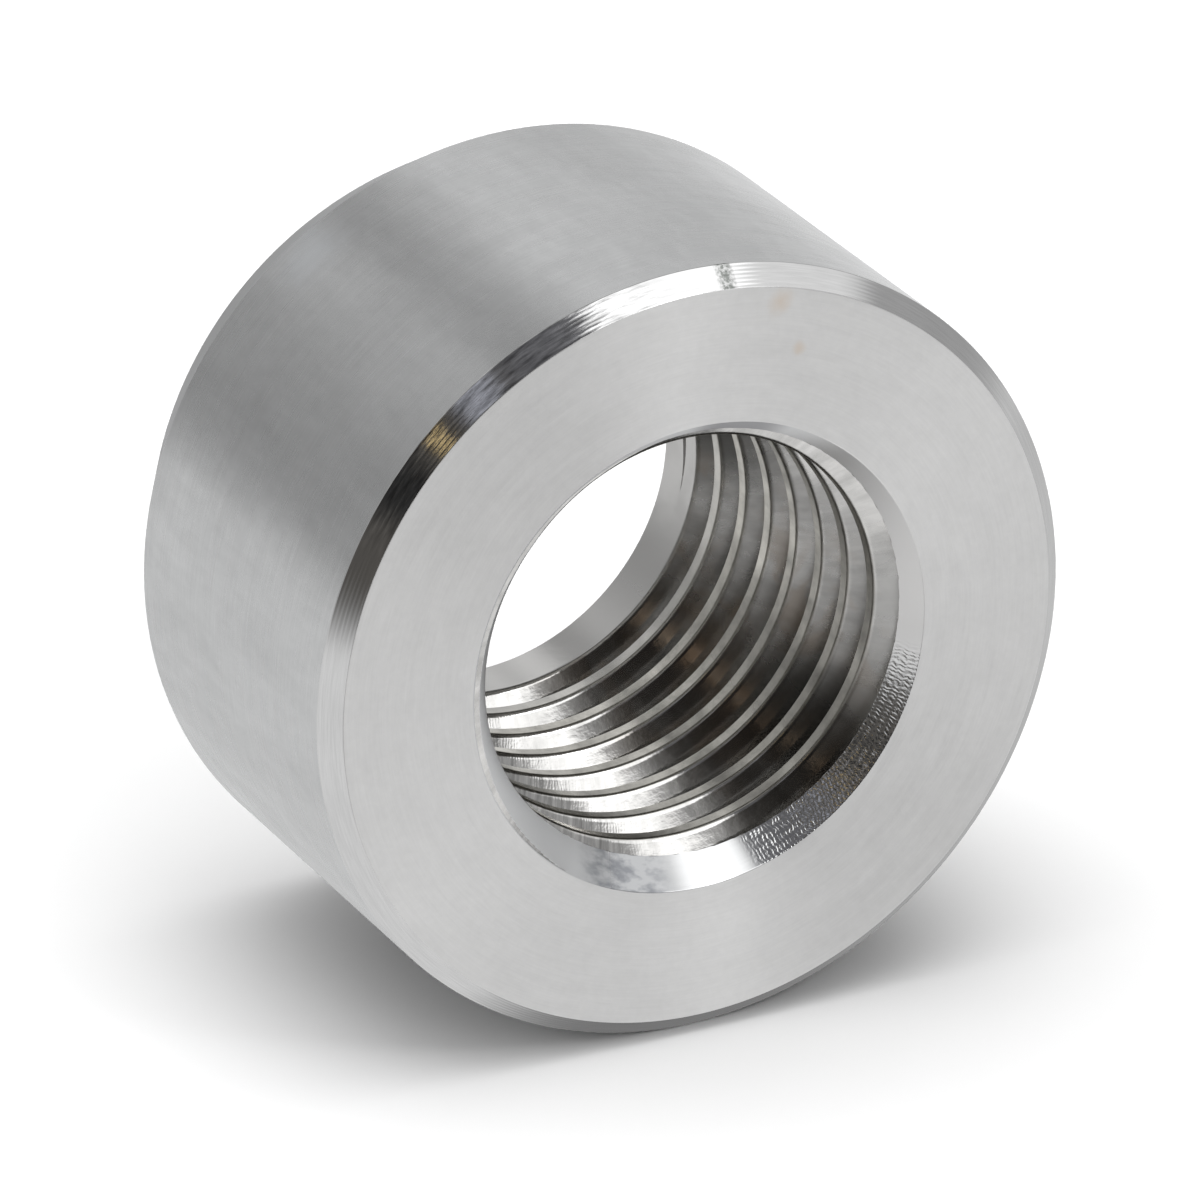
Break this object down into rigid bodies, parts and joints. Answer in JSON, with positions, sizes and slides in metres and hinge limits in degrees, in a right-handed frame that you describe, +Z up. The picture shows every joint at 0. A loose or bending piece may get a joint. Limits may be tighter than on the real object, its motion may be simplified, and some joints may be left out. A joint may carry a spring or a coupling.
{
  "type": "weld bung",
  "caption": "Round turned steel collar with an internally threaded bore, countersunk mouth and bevelled weld end, for welding a pipe-threaded port into a tank or tube.",
  "frame": {"origin": "centre of the weld end, which it stands on", "axes": "+Z up along the bore and out of the countersunk open face; X and Y across it"},
  "size_m": [0.021, 0.021, 0.013],
  "materials": {
    "steel": "fine-turned bare steel, satin"
  },
  "bodies": {
    "root": {"weld_bung": "steel"}
  },
  "joints": []
}
